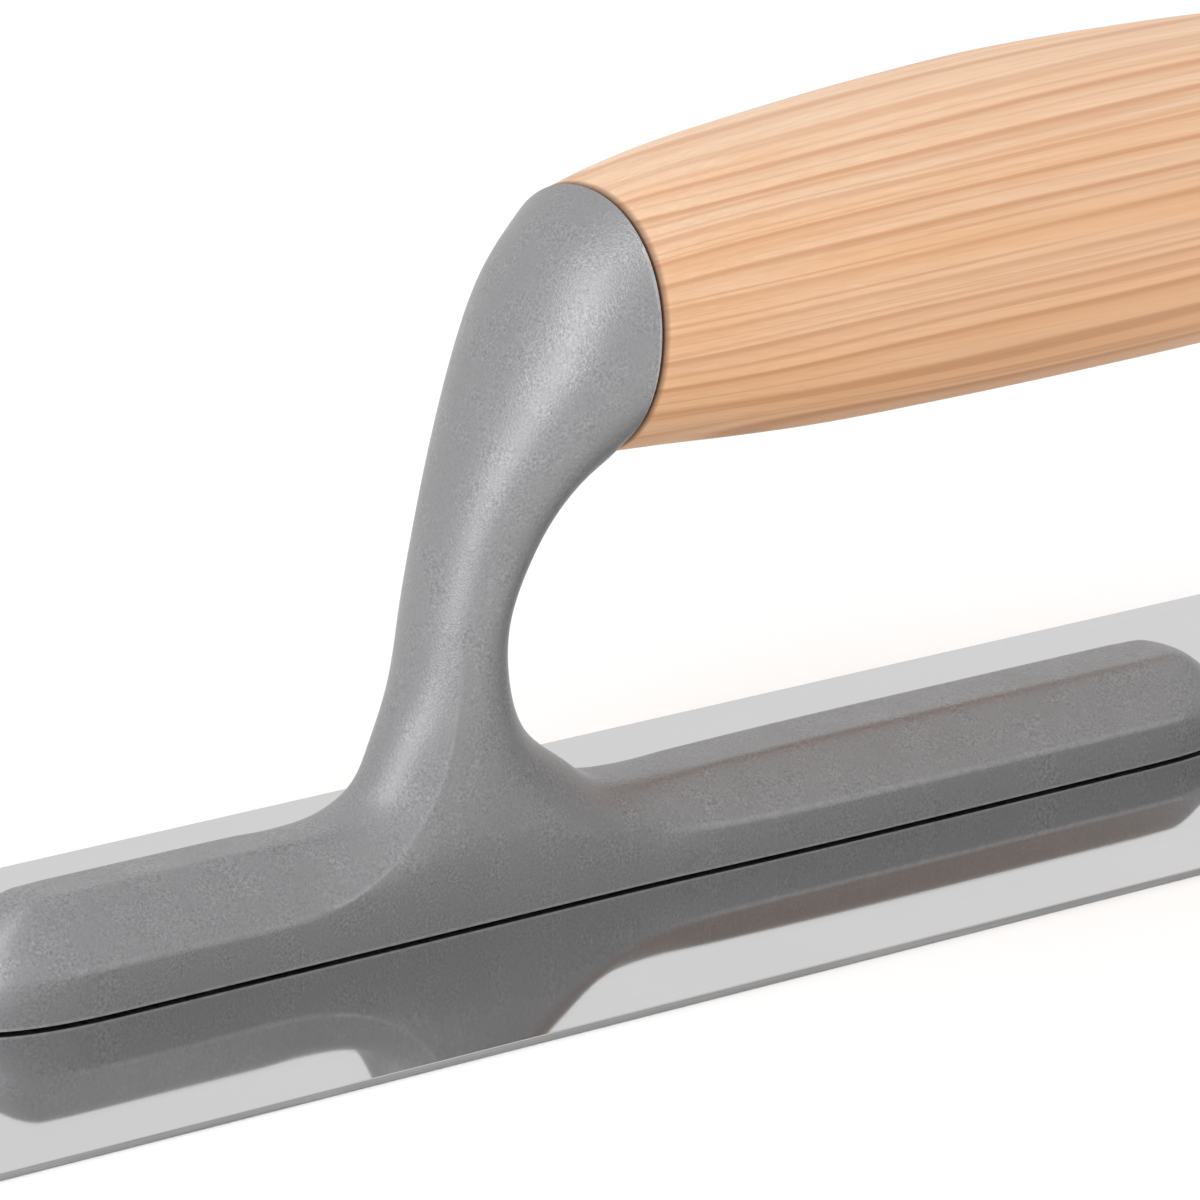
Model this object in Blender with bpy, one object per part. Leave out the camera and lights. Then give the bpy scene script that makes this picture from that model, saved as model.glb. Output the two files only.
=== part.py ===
"""Plasterer's finishing trowel: steel blade, cast gooseneck mount, wooden handle.

The frame is in metres.  The origin is the centre of the blade's underside,
+X runs along the blade towards the butt of the handle, +Y to the blade's back
edge and +Z up through the handle.
"""
import math

import bmesh
import bpy
from mathutils import Matrix, Vector

MM = 0.001
GAP = 0.3 * MM

# Blade
BLADE_LENGTH = 250 * MM
BLADE_WIDTH = 80 * MM
BLADE_THICKNESS = 0.8 * MM
BLADE_CORNER_RADIUS = 4 * MM
CORNER_STEPS = 6

# Beam, the long foot of the casting; its front arm is higher than its rear arm
BEAM_BOTTOM = BLADE_THICKNESS + GAP
BEAM_HALF_WIDTH = 8.3 * MM
BEAM_SHOULDER = 6.1 * MM
REAR_ARM = {
    "direction": 1,
    "half_width": 9.1 * MM,
    "shoulder": 5.8 * MM,
    "top": 11.8 * MM,
    "top_half_width": 3.8 * MM,
    "stations": (20 * MM, 44 * MM, 65 * MM, 76.3 * MM),
    "top_end": 80.2 * MM,
    "corner": 84.5 * MM,
    "tip": 89.5 * MM,
    "crease": 0.55,
}
FRONT_ARM = {
    "direction": -1,
    "half_width": 8.3 * MM,
    "shoulder": 6.5 * MM,
    "top": 13.45 * MM,
    "top_half_width": 2.9 * MM,
    "stations": (60 * MM, 71 * MM, 79 * MM),
    "top_end": 83 * MM,
    "corner": 89 * MM,
    "tip": 91.5 * MM,
    "crease": 0.55,
}
END_CREASE = 0.4
END_SIDE_SCALE = 0.74
END_TOP_SCALE = 1.0
END_TOP_SET_BACK = 0.6 * MM
END_SHOULDER_SET_BACK = 1 * MM
END_TIP_LEAN = 1.5 * MM

# Post and head of the casting: front point, rear point (x, z) and half width
RING_ROUNDNESS = 2.1
RING_SWELL = 1.026
POST_FOOT_FRONT = -47 * MM
POST_FOOT_REAR = 1.5 * MM
POST_FOOT_DIP = 0.4 * MM
POST_RINGS = (
    ((-36.5, 15.2), (-9.3, 15.0), 7.5),
    ((-34.6, 19.7), (-16.0, 19.2), 7.0),
    ((-31.0, 26.2), (-18.3, 26.2), 6.8),
    ((-29.4, 34.2), (-18.8, 33.7), 6.9),
    ((-27.3, 42.2), (-15.4, 40.7), 7.6),
    ((-24.8, 50.2), (-13.4, 44.0), 8.8),
    ((-21.2, 58.6), (-11.9, 46.2), 10.6),
    ((-17.1, 66.8), (-10.4, 47.7), 12.4),
    ((-12.7, 74.1), (-9.0, 48.6), 13.9),
)

# Foot of the post: places along the beam's side and their rise over its
# shoulder, then the flare above it, half of a loop from the rear to the front
FOOT_SIDE = ((-0.5, 0), (-11, 0.6), (-24, 1.0), (-36, 0.6), (-47, 0))
FOOT_FLARE = (
    (-6.6, 0, 12.1),
    (-7.0, -4.0, 11.8),
    (-9.2, -7.8, 9.8),
    (-15.0, -8.3, 10.8),
    (-24.0, -8.3, 11.2),
    (-31.5, -8.4, 10.4),
    (-37.9, -8.0, 9.2),
    (-41.2, -3.8, 13.2),
    (-41.5, 0, 13.5),
)
FOOT_CREASES = (0.3, 0.2, 0.1)
FOOT_CREASE_COLUMNS = (1, 7, 9, 15)

# Ridge that runs from each of the front arm's shoulders up the post: its angle
# round the lowest rings, from the rear, and its creases from the beam upwards
RIDGE_COLUMNS = (6, 10)
RIDGE_ANGLES = (125, 113, 115, 124)
RIDGE_CREASES = (0.55, 0.6, 0.6, 0.5, 0.35)
PLAIN_RIDGE_ANGLE = 135

# Seam, where the head meets the handle
SEAM_X = -6.8 * MM
SEAM_Z = 64.8 * MM
SEAM_HALF_WIDTH = 15.3 * MM
SEAM_HALF_HEIGHT = 14.7 * MM
SEAM_TILT = math.radians(3.7)

# Handle: distance along X, centre height, half width and half height
HANDLE_STATIONS = (
    (-6.8, 64.8, 15.3, 14.7),
    (1, 65.5, 16.1, 15.8),
    (10, 65.9, 17.1, 16.8),
    (22, 66.3, 18.2, 17.7),
    (36, 66.9, 18.8, 18.4),
    (54, 67.5, 19.1, 18.9),
    (76, 67.7, 19.0, 18.7),
    (96, 67.7, 18.2, 18.0),
    (118, 67.7, 16.8, 16.8),
)
HANDLE_RINGS = 16
HANDLE_POINTS = 32
HANDLE_END = 118 * MM
BUTT_ROUND_LENGTH = 13 * MM
BUTT_FACE_SCALE = 0.55
BUTT_STEPS = 6
TILT_FADE = 14 * MM

# Spigot, tie screw and washer on the handle's axis
AXIS_START = Vector((SEAM_X, 0, SEAM_Z))
AXIS_END = Vector((HANDLE_END, 0, 67.7 * MM))
SPIGOT_LENGTH = 12 * MM
SPIGOT_ROOT = 4 * MM
SPIGOT_RADIUS = 8 * MM
SPIGOT_FLAT = 6 * MM
SCREW_RADIUS = 3 * MM
SCREW_POINT_RADIUS = 2.4 * MM
SCREW_POINT_LENGTH = 1 * MM
SCREW_DEPTH_IN_HEAD = 5 * MM
SCREW_HEAD_RADIUS = 5 * MM
SCREW_HEAD_HEIGHT = 3.4 * MM
SCREW_HEAD_CHAMFER = 0.6 * MM
SCREW_SOCKET_RADIUS = 2.6 * MM
SCREW_SOCKET_DEPTH = 2 * MM
WASHER_RADIUS = 6.5 * MM
WASHER_THICKNESS = 1.2 * MM
COUNTERBORE_DEPTH = 6 * MM
ROUND_SEGMENTS = 24

# Rivets, set flush in the blade's underside
RIVET_COUNT = 7
RIVET_PITCH = 22 * MM
RIVET_HEAD_RADIUS = 3.4 * MM
RIVET_SHANK_RADIUS = 2 * MM
RIVET_TOP = 5.2 * MM
CUT_MARGIN = 1 * MM

MATERIALS = {
    "blade_steel": ((0.62, 0.63, 0.64), 0.16, 1.0),
    "cast_metal": ((0.27, 0.27, 0.28), 0.42, 0.85),
    "ash_wood": ((0.74, 0.49, 0.29), 0.55, 0.0),
    "zinc_steel": ((0.55, 0.55, 0.56), 0.3, 1.0),
    "rivet_steel": ((0.5, 0.5, 0.51), 0.28, 1.0),
}


def clear_scene():
    for item in list(bpy.data.objects):
        bpy.data.objects.remove(item, do_unlink=True)


def make_material(name):
    colour, roughness, metallic = MATERIALS[name]
    material = bpy.data.materials.new(name)
    material.use_nodes = True
    shader = material.node_tree.nodes["Principled BSDF"]
    shader.inputs["Base Color"].default_value = (*colour, 1)
    shader.inputs["Roughness"].default_value = roughness
    shader.inputs["Metallic"].default_value = metallic
    return material


def add_object(name, shape, material=None, sharp_angle=30):
    """Turn a bmesh into an object, shaded smooth up to the sharp angle."""
    bmesh.ops.recalc_face_normals(shape, faces=shape.faces)
    mesh = bpy.data.meshes.new(name)
    shape.to_mesh(mesh)
    shape.free()
    mesh.shade_smooth()
    mesh.set_sharp_from_angle(angle=math.radians(sharp_angle))
    item = bpy.data.objects.new(name, mesh)
    bpy.context.scene.collection.objects.link(item)
    if material:
        mesh.materials.append(material)
    return item


def add_cutter(name, shape):
    cutter = add_object(name, shape)
    cutter.hide_render = True
    cutter.display_type = "WIRE"
    return cutter


def add_boolean(item, cutter, operation):
    modifier = item.modifiers.new(cutter.name, "BOOLEAN")
    modifier.object = cutter
    modifier.operation = operation
    modifier.solver = "EXACT"


def turned_rings(shape, profile, frame, segments=ROUND_SEGMENTS):
    """Rings of points about the frame's X axis, one for each (distance, radius)."""
    rings = []
    for distance, radius in profile:
        ring = []
        for step in range(segments):
            angle = math.tau * step / segments
            point = Vector((distance, radius * math.cos(angle), radius * math.sin(angle)))
            ring.append(shape.verts.new(frame @ point))
        rings.append(ring)
    return rings


def turned_shape(profile, frame, segments=ROUND_SEGMENTS):
    """Turn (distance, radius) pairs about the frame's X axis, with flat ends."""
    shape = bmesh.new()
    cap_rings(shape, turned_rings(shape, profile, frame, segments))
    return shape


def cap_rings(shape, rings):
    """Join rings of points into a closed body with a face at each end."""
    bridge_rings(shape, rings)
    shape.faces.new(rings[0])
    shape.faces.new(rings[-1])


def bridge_rings(shape, rings):
    for lower, upper in zip(rings, rings[1:]):
        count = len(lower)
        for index in range(count):
            following = (index + 1) % count
            shape.faces.new((lower[index], lower[following], upper[following], upper[index]))


def superellipse(angle, roundness=RING_ROUNDNESS):
    """Unit point (across, along) of a slightly squared circle."""
    power = 2 / roundness
    cosine = math.cos(angle)
    sine = math.sin(angle)
    return (
        math.copysign(abs(cosine) ** power, cosine),
        math.copysign(abs(sine) ** power, sine),
    )


def axis_frame(start, direction):
    """Matrix with its X axis along the direction, at the start point."""
    turn = direction.to_track_quat("X", "Z").to_matrix().to_4x4()
    return Matrix.Translation(start) @ turn


def vertical_frame(x):
    return axis_frame(Vector((x, 0, 0)), Vector((0, 0, 1)))


# Casting -------------------------------------------------------------------

def ring_angles(ridge_angle):
    """Angles in degrees round half a ring, from the rear; the seventh is the ridge's."""
    ahead = (90 + ridge_angle) / 2
    behind = (ridge_angle + 180) / 2
    return (0, 22.5, 45, 67.5, 90, ahead, ridge_angle, behind, 180)


def post_ring(front, rear, half_width, ridge_angle=PLAIN_RIDGE_ANGLE):
    """Points of one ring; index 0 is the rear point and half-way is the front."""
    front = Vector((front[0], 0, front[1]))
    rear = Vector((rear[0], 0, rear[1]))
    centre = (front + rear) / 2
    reach = (rear - front) / 2
    points = []
    for angle in ring_angles(ridge_angle):
        along, across = superellipse(math.radians(angle))
        side = Vector((0, -half_width * across, 0))
        points.append(centre + (reach * along + side) * RING_SWELL)
    return mirrored_loop(points)


def mirrored_loop(front_half):
    """Close a loop given its nine points from the rear, by the front side."""
    back_half = [Vector((p.x, -p.y, p.z)) for p in reversed(front_half[1:-1])]
    return front_half + back_half


def foot_loops():
    """Two loops where the post grows out of the beam's sides and flat top."""
    rear_top = REAR_ARM["top"] - POST_FOOT_DIP
    front_top = FRONT_ARM["top"]
    on_beam = [
        Vector((POST_FOOT_REAR, 0, rear_top)),
        Vector((POST_FOOT_REAR, -REAR_ARM["top_half_width"], rear_top)),
    ]
    for x, rise in FOOT_SIDE:
        on_beam.append(Vector((x * MM, -BEAM_HALF_WIDTH, BEAM_SHOULDER + rise * MM)))
    on_beam.append(Vector((POST_FOOT_FRONT, -FRONT_ARM["top_half_width"], front_top)))
    on_beam.append(Vector((POST_FOOT_FRONT, 0, front_top)))
    flare = [Vector(point) * MM for point in FOOT_FLARE]
    return [mirrored_loop(on_beam), mirrored_loop(flare)]


def seam_ring():
    """Points of the seam's outline, which leans back at the top."""
    lean = Vector((math.sin(SEAM_TILT), 0, math.cos(SEAM_TILT)))
    top = AXIS_START + lean * SEAM_HALF_HEIGHT
    bottom = AXIS_START - lean * SEAM_HALF_HEIGHT
    return post_ring((top.x, top.z), (bottom.x, bottom.z), SEAM_HALF_WIDTH)


def arm_section(arm, x):
    """Eight points round the beam, from the bottom's middle by the front side."""
    x = x * arm["direction"]
    side = arm["half_width"]
    shoulder = arm["shoulder"]
    top = arm["top"]
    half = arm["top_half_width"]
    return [
        (x, 0, BEAM_BOTTOM),
        (x, -side, BEAM_BOTTOM),
        (x, -side, shoulder),
        (x, -half, top),
        (x, 0, top),
        (x, half, top),
        (x, side, shoulder),
        (x, side, BEAM_BOTTOM),
    ]


def end_section(arm):
    """Eight points of the arm's rounded end, and the middle of its end face."""
    tip = arm["tip"]
    corner = arm["corner"]
    top = arm["top"]
    top_end = arm["top_end"]
    side = arm["half_width"] * END_SIDE_SCALE
    shoulder = arm["shoulder"]
    half = arm["top_half_width"] * END_TOP_SCALE
    points = [
        (tip, 0, BEAM_BOTTOM),
        (corner, -side, BEAM_BOTTOM),
        (corner - END_SHOULDER_SET_BACK, -side, shoulder),
        (top_end - END_TOP_SET_BACK, -half, top),
        (top_end, 0, top),
        (top_end - END_TOP_SET_BACK, half, top),
        (corner - END_SHOULDER_SET_BACK, side, shoulder),
        (corner, side, BEAM_BOTTOM),
        (tip - END_TIP_LEAN, 0, shoulder),
    ]
    placed = [(arm["direction"] * x, y, z) for x, y, z in points]
    return placed[:-1], placed[-1]


def add_arm(shape, arm, first_section, crease_layer):
    """Run one arm of the beam from the post's foot to its rounded end."""
    sections = [first_section]
    for station in arm["stations"]:
        sections.append([shape.verts.new(p) for p in arm_section(arm, station)])
    end_points, middle_point = end_section(arm)
    sections.append([shape.verts.new(p) for p in end_points])
    bridge_rings(shape, sections)
    bottom, front, front_edge, front_top, top, back_top, back_edge, back = sections[-1]
    middle = shape.verts.new(middle_point)
    shape.faces.new((bottom, front, front_edge, middle))
    shape.faces.new((middle, front_edge, front_top, top))
    shape.faces.new((bottom, middle, back_edge, back))
    shape.faces.new((middle, top, back_top, back_edge))
    for number, (near, far) in enumerate(zip(sections, sections[1:])):
        last = number == len(sections) - 2
        for column in (2, 3, 5, 6):
            edge = shape.edges.get((near[column], far[column]))
            edge[crease_layer] = END_CREASE if last else arm["crease"]
        for column in (1, 7):
            shape.edges.get((near[column], far[column]))[crease_layer] = 1
    for side in (front, back):
        shape.edges.get((bottom, side))[crease_layer] = 1


def add_foot_bottom(shape, foot, crease_layer):
    """Close the beam under the post; return its front and rear end sections."""
    bottoms = []
    for vertex in foot[2:7]:
        row = []
        for y in (-BEAM_HALF_WIDTH, 0, BEAM_HALF_WIDTH):
            row.append(shape.verts.new((vertex.co.x, y, BEAM_BOTTOM)))
        bottoms.append(row)
    for index, (near, far) in enumerate(zip(bottoms, bottoms[1:]), 2):
        shape.faces.new((near[0], foot[index], foot[index + 1], far[0]))
        shape.faces.new((near[2], far[2], foot[-index - 1], foot[-index]))
        shape.faces.new((near[1], near[0], far[0], far[1]))
        shape.faces.new((near[2], near[1], far[1], far[2]))
        for side in (0, 2):
            shape.edges.get((near[side], far[side]))[crease_layer] = 1
    rear = bottoms[0]
    front = bottoms[-1]
    rear_section = [rear[1], rear[0], foot[2], foot[1], foot[0], foot[-1], foot[-2], rear[2]]
    front_section = [front[1], front[0], foot[6], foot[7], foot[8], foot[9], foot[10], front[2]]
    return front_section, rear_section


def casting_shape():
    """Control cage of the beam, gooseneck post and head."""
    shape = bmesh.new()
    crease_layer = shape.edges.layers.float.new("crease_edge")
    loops = foot_loops()
    plain_rings = len(POST_RINGS) - len(RIDGE_ANGLES)
    ridge_angles = RIDGE_ANGLES + (PLAIN_RIDGE_ANGLE,) * plain_rings
    for (front, rear, half_width), angle in zip(POST_RINGS, ridge_angles):
        loops.append(post_ring(Vector(front) * MM, Vector(rear) * MM, half_width * MM, angle))
    loops.append(seam_ring())
    rings = [[shape.verts.new(p) for p in loop] for loop in loops]
    bridge_rings(shape, rings)
    seam = rings[-1]
    shape.faces.new(seam)
    for near, far in zip(seam, seam[1:] + seam[:1]):
        shape.edges.get((near, far))[crease_layer] = 1
    for columns, creases in ((FOOT_CREASE_COLUMNS, FOOT_CREASES), (RIDGE_COLUMNS, RIDGE_CREASES)):
        for column in columns:
            for crease, (lower, upper) in zip(creases, zip(rings, rings[1:])):
                shape.edges.get((lower[column], upper[column]))[crease_layer] = crease
    front_section, rear_section = add_foot_bottom(shape, rings[0], crease_layer)
    add_arm(shape, REAR_ARM, rear_section, crease_layer)
    add_arm(shape, FRONT_ARM, front_section, crease_layer)
    return shape


def make_casting(material):
    casting = add_object("mount_casting", casting_shape(), material)
    subdivide = casting.modifiers.new("smooth", "SUBSURF")
    subdivide.levels = 1
    subdivide.render_levels = 1
    frame = handle_frame()
    spigot = add_cutter("spigot_guide", spigot_shape(frame, 0))
    add_boolean(casting, spigot, "UNION")
    hole_end = SPIGOT_LENGTH + CUT_MARGIN
    radius = SCREW_RADIUS + GAP
    hole = turned_shape([(-SCREW_DEPTH_IN_HEAD - GAP, radius), (hole_end, radius)], frame)
    add_boolean(casting, add_cutter("screw_hole_cutter", hole), "DIFFERENCE")
    for number, x in enumerate(rivet_places(), 1):
        radius = RIVET_SHANK_RADIUS + GAP
        profile = [(0, radius), (RIVET_TOP + GAP, radius)]
        hole = turned_shape(profile, vertical_frame(x), ROUND_SEGMENTS // 2)
        add_boolean(casting, add_cutter(f"rivet_hole_cutter_{number}", hole), "DIFFERENCE")


# Handle --------------------------------------------------------------------

def handle_frame():
    return axis_frame(AXIS_START, (AXIS_END - AXIS_START).normalized())


def spigot_shape(frame, clearance):
    """Round bar with two flats, which keeps the handle from turning."""
    start = -SPIGOT_ROOT
    end = SPIGOT_LENGTH + clearance
    radius = SPIGOT_RADIUS + clearance
    flat = SPIGOT_FLAT + clearance
    shape = bmesh.new()
    rings = []
    for distance in (start, end):
        ring = []
        for step in range(ROUND_SEGMENTS):
            angle = math.tau * step / ROUND_SEGMENTS
            across = max(-flat, min(flat, radius * math.cos(angle)))
            point = Vector((distance, across, radius * math.sin(angle)))
            ring.append(shape.verts.new(frame @ point))
        rings.append(ring)
    cap_rings(shape, rings)
    return shape


def smooth_station(x):
    """Centre height, half width and half height of the handle at x."""
    stations = HANDLE_STATIONS
    position = max(stations[0][0], min(stations[-1][0], x / MM))
    index = 0
    while index < len(stations) - 2 and stations[index + 1][0] < position:
        index += 1
    start = stations[index]
    end = stations[index + 1]
    before = stations[max(index - 1, 0)]
    after = stations[min(index + 2, len(stations) - 1)]
    span = end[0] - start[0]
    t = (position - start[0]) / span
    values = []
    for column in (1, 2, 3):
        slope_in = (end[column] - before[column]) / (end[0] - before[0]) * span
        slope_out = (after[column] - start[column]) / (after[0] - start[0]) * span
        value = (2 * t ** 3 - 3 * t ** 2 + 1) * start[column]
        value += (t ** 3 - 2 * t ** 2 + t) * slope_in
        value += (3 * t ** 2 - 2 * t ** 3) * end[column]
        value += (t ** 3 - t ** 2) * slope_out
        values.append(value * MM)
    return values


def handle_ring(x, scale):
    """One outline of the handle; near the seam it leans with the seam."""
    height, half_width, half_height = smooth_station(x)
    fade = max(0, 1 - (x - SEAM_X) / TILT_FADE)
    tilt = SEAM_TILT * fade
    lean = Vector((math.sin(tilt), 0, math.cos(tilt)))
    centre = Vector((x, 0, height))
    points = []
    for step in range(HANDLE_POINTS):
        up, across = superellipse(math.tau * step / HANDLE_POINTS)
        side = Vector((0, half_width * across * scale, 0))
        points.append(centre + lean * half_height * up * scale + side)
    return points


def handle_shape():
    shape = bmesh.new()
    loops = []
    start = SEAM_X + GAP / math.cos(SEAM_TILT)
    straight_end = HANDLE_END - BUTT_ROUND_LENGTH
    for number in range(HANDLE_RINGS + 1):
        part = number / HANDLE_RINGS
        loops.append(handle_ring(start + (straight_end - start) * part, 1))
    for number in range(1, BUTT_STEPS + 1):
        angle = math.pi / 2 * number / BUTT_STEPS
        x = straight_end + BUTT_ROUND_LENGTH * math.sin(angle)
        scale = BUTT_FACE_SCALE + (1 - BUTT_FACE_SCALE) * math.cos(angle)
        loops.append(handle_ring(x, scale))
    cap_rings(shape, [[shape.verts.new(p) for p in loop] for loop in loops])
    return shape


def make_handle(material):
    handle = add_object("wooden_handle", handle_shape(), material, 35)
    frame = handle_frame()
    length = (AXIS_END - AXIS_START).length
    spigot = add_cutter("spigot_recess_cutter", spigot_shape(frame, GAP))
    add_boolean(handle, spigot, "DIFFERENCE")
    bore_radius = SCREW_RADIUS + GAP
    bore = turned_shape([(0, bore_radius), (length + CUT_MARGIN, bore_radius)], frame)
    add_boolean(handle, add_cutter("screw_bore_cutter", bore), "DIFFERENCE")
    counterbore_radius = WASHER_RADIUS + GAP
    profile = [
        (length - COUNTERBORE_DEPTH, counterbore_radius),
        (length + CUT_MARGIN, counterbore_radius),
    ]
    counterbore = turned_shape(profile, frame)
    add_boolean(handle, add_cutter("counterbore_cutter", counterbore), "DIFFERENCE")


# Hardware ------------------------------------------------------------------

def make_screw_and_washer(material):
    frame = handle_frame()
    length = (AXIS_END - AXIS_START).length
    seat = length - COUNTERBORE_DEPTH + GAP
    add_object("screw_washer", washer_shape(frame, seat), material)
    head_seat = seat + WASHER_THICKNESS + GAP
    head_top = head_seat + SCREW_HEAD_HEIGHT
    profile = [
        (-SCREW_DEPTH_IN_HEAD, SCREW_POINT_RADIUS),
        (-SCREW_DEPTH_IN_HEAD + SCREW_POINT_LENGTH, SCREW_RADIUS),
        (head_seat, SCREW_RADIUS),
        (head_seat, SCREW_HEAD_RADIUS),
        (head_top - SCREW_HEAD_CHAMFER, SCREW_HEAD_RADIUS),
        (head_top, SCREW_HEAD_RADIUS - SCREW_HEAD_CHAMFER),
        (head_top, SCREW_SOCKET_RADIUS),
        (head_top - SCREW_SOCKET_DEPTH, SCREW_SOCKET_RADIUS),
    ]
    add_object("handle_screw", turned_shape(profile, frame), material)


def washer_shape(frame, seat):
    shape = bmesh.new()
    inner = SCREW_RADIUS + GAP
    profile = (
        (seat, inner),
        (seat, WASHER_RADIUS),
        (seat + WASHER_THICKNESS, WASHER_RADIUS),
        (seat + WASHER_THICKNESS, inner),
    )
    rings = turned_rings(shape, profile, frame)
    bridge_rings(shape, rings + rings[:1])
    return shape


def rivet_places():
    first = -RIVET_PITCH * (RIVET_COUNT - 1) / 2
    return [first + RIVET_PITCH * number for number in range(RIVET_COUNT)]


def make_rivets(material):
    """Countersunk heads in the blade, plain shanks up in the beam."""
    for number, x in enumerate(rivet_places(), 1):
        profile = [
            (0, RIVET_HEAD_RADIUS),
            (BLADE_THICKNESS, RIVET_HEAD_RADIUS - BLADE_THICKNESS),
            (BLADE_THICKNESS, RIVET_SHANK_RADIUS),
            (RIVET_TOP, RIVET_SHANK_RADIUS),
        ]
        shape = turned_shape(profile, vertical_frame(x), ROUND_SEGMENTS // 2)
        add_object(f"blade_rivet_{number}", shape, material)


# Blade ---------------------------------------------------------------------

def blade_outline():
    """Rectangle with rounded corners, counter-clockwise."""
    points = []
    for quarter in range(4):
        x_side = (1, -1, -1, 1)[quarter]
        y_side = (1, 1, -1, -1)[quarter]
        centre_x = x_side * (BLADE_LENGTH / 2 - BLADE_CORNER_RADIUS)
        centre_y = y_side * (BLADE_WIDTH / 2 - BLADE_CORNER_RADIUS)
        for step in range(CORNER_STEPS + 1):
            angle = math.pi / 2 * (quarter + step / CORNER_STEPS)
            x = centre_x + BLADE_CORNER_RADIUS * math.cos(angle)
            y = centre_y + BLADE_CORNER_RADIUS * math.sin(angle)
            points.append((x, y))
    return points


def make_blade(material):
    shape = bmesh.new()
    outline = blade_outline()
    rings = []
    for z in (0, BLADE_THICKNESS):
        rings.append([shape.verts.new((x, y, z)) for x, y in outline])
    cap_rings(shape, rings)
    blade = add_object("blade", shape, material)
    for number, x in enumerate(rivet_places(), 1):
        wide = RIVET_HEAD_RADIUS + GAP
        profile = [
            (-CUT_MARGIN, wide + CUT_MARGIN),
            (BLADE_THICKNESS + CUT_MARGIN, wide - BLADE_THICKNESS - CUT_MARGIN),
        ]
        hole = turned_shape(profile, vertical_frame(x), ROUND_SEGMENTS // 2)
        add_boolean(blade, add_cutter(f"blade_hole_cutter_{number}", hole), "DIFFERENCE")


def main():
    clear_scene()
    materials = {name: make_material(name) for name in MATERIALS}
    make_blade(materials["blade_steel"])
    make_casting(materials["cast_metal"])
    make_handle(materials["ash_wood"])
    make_screw_and_washer(materials["zinc_steel"])
    make_rivets(materials["rivet_steel"])


main()
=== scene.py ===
import math

import bmesh
import bpy
from mathutils import Matrix, Vector


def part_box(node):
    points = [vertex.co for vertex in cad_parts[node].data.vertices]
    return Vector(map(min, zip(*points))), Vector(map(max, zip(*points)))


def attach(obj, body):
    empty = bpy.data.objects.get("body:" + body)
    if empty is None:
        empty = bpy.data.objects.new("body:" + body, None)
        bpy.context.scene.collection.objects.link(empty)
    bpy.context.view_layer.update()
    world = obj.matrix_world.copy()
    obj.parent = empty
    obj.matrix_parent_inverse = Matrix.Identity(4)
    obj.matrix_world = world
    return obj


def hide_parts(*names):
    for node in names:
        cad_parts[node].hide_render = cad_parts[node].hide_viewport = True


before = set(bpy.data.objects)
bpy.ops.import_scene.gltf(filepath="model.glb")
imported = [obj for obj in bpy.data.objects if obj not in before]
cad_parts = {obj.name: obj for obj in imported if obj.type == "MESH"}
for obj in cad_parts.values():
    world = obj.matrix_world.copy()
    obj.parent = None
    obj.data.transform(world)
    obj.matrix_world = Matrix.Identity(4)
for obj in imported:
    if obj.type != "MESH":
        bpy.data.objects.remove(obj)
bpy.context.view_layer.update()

# Plasterer's finishing trowel.  The origin is the centre of the blade's underside,
# +X runs along the blade towards the butt of the handle and +Z up.
MM = 0.001
GAP = 0.3 * MM
BODY = "root"

# Blade
BLADE_LOW, BLADE_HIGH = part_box("blade")
BLADE_LENGTH = BLADE_HIGH.x - BLADE_LOW.x
BLADE_WIDTH = BLADE_HIGH.y - BLADE_LOW.y
BLADE_THICKNESS = BLADE_HIGH.z - BLADE_LOW.z
BLADE_CORNER_RADIUS = 4 * MM
BLADE_EDGE_RADIUS = 0.12 * MM
BLADE_EDGE_STEPS = 4
CORNER_STEPS = 16

# Beam, the long foot of the casting; its front arm is higher than its rear arm
BEAM_BOTTOM = BLADE_THICKNESS + GAP
BEAM_HALF_WIDTH = 8.3 * MM
BEAM_SHOULDER = 6.1 * MM
REAR_ARM = {
    "direction": 1,
    "half_width": 9.1 * MM,
    "shoulder": 5.8 * MM,
    "top": 11.8 * MM,
    "top_half_width": 3.8 * MM,
    "stations": (20 * MM, 44 * MM, 65 * MM, 76.3 * MM),
    "top_end": 80.2 * MM,
    "corner": 84.5 * MM,
    "tip": 89.5 * MM,
}
FRONT_ARM = {
    "direction": -1,
    "half_width": 8.3 * MM,
    "shoulder": 6.5 * MM,
    "top": 13.45 * MM,
    "top_half_width": 2.9 * MM,
    "stations": (60 * MM, 71 * MM, 79 * MM),
    "top_end": 83 * MM,
    "corner": 89 * MM,
    "tip": 91.5 * MM,
}
END_CREASE = 0.4
BOTTOM_CREASE = 1.0
SHOULDER_CREASE = 0.55
TOP_CREASE = 0.46
ARM_CREASES = ((2, SHOULDER_CREASE), (3, TOP_CREASE), (5, TOP_CREASE), (6, SHOULDER_CREASE))
END_SIDE_SCALE = 0.74
END_TOP_SET_BACK = 0.6 * MM
END_SHOULDER_SET_BACK = 1 * MM
END_TIP_LEAN = 1.5 * MM

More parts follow.
